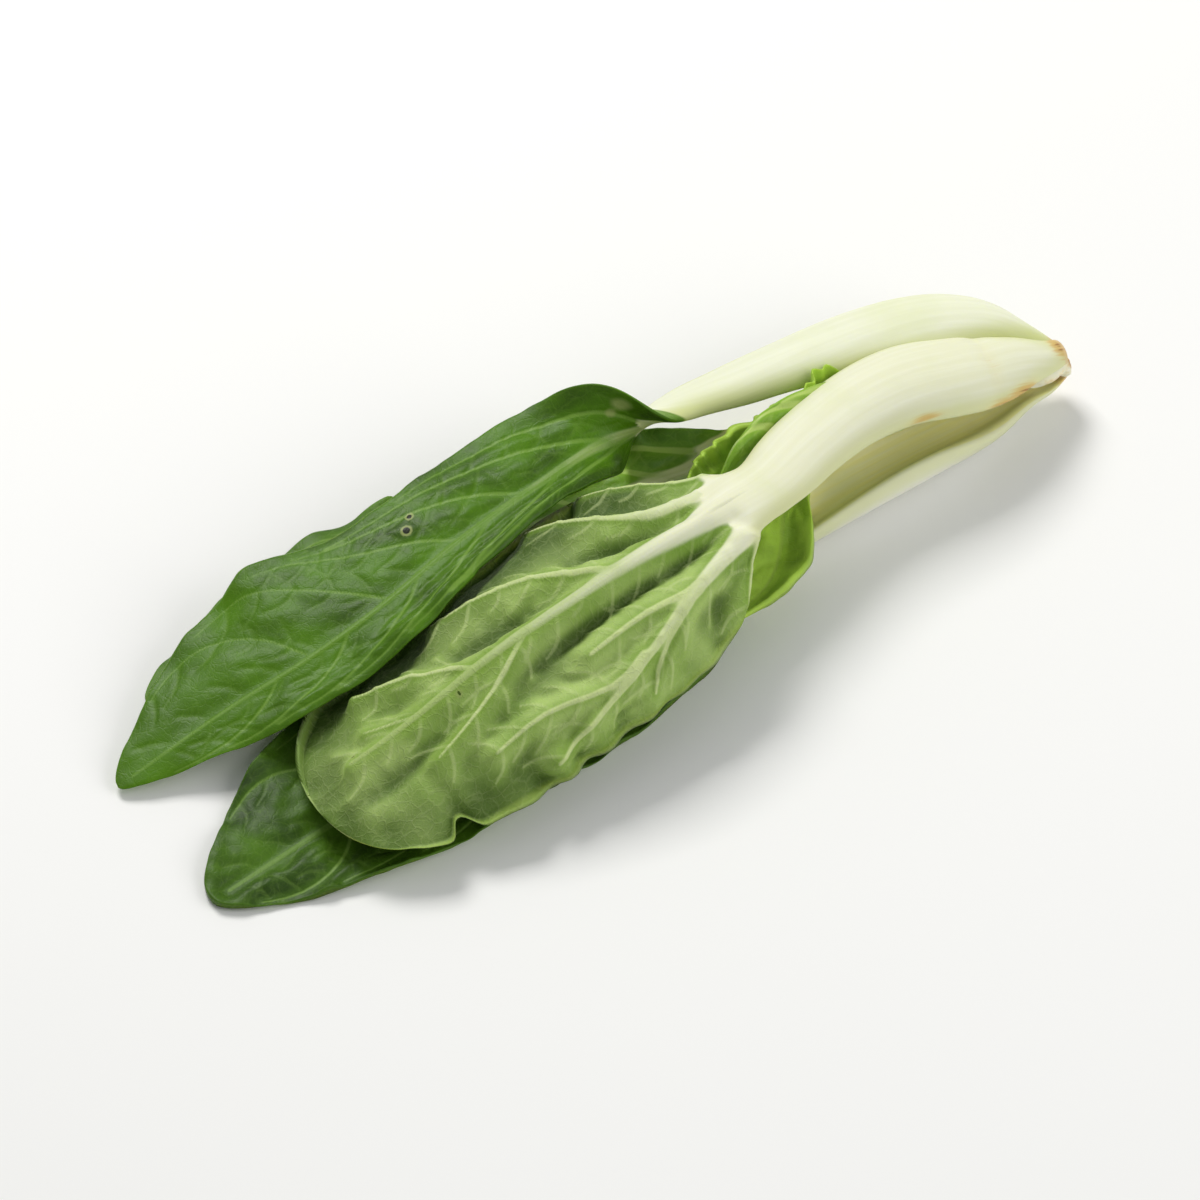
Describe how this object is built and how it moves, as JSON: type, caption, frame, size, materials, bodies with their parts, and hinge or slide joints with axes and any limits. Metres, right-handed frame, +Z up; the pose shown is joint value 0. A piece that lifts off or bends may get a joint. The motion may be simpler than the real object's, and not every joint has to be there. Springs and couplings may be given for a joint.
{
  "type": "bok choy",
  "caption": "Small bok choy plant lying loose: fleshy white stalks grow from a short stem, bow outwards and run on as the midribs of broad green blades heaped on each other.",
  "frame": {"origin": "middle of the footprint, on the surface the plant lies on", "axes": "+X along the plant towards the stem's cut end, leaf tips at -X; +Y towards the far side, where the turned-over leaf lies; +Z up"},
  "size_m": [0.2406, 0.0948, 0.0348],
  "materials": {
    "stem": "matt, fresh plant tissue",
    "outer_leaf": "satin, fresh plant tissue",
    "inner_leaf": "satin, fresh plant tissue",
    "heart_leaf": "satin, fresh plant tissue"
  },
  "bodies": {
    "root": {"stem_base": "stem", "outer_leaf_top": "outer_leaf", "outer_leaf_far": "outer_leaf", "outer_leaf_bottom": "outer_leaf", "outer_leaf_back": "outer_leaf", "inner_leaf_upper": "inner_leaf", "inner_leaf_lower": "inner_leaf", "inner_leaf_back": "inner_leaf", "heart_leaf_outer": "heart_leaf", "heart_leaf_middle": "heart_leaf", "heart_leaf_small": "heart_leaf"}
  },
  "joints": []
}
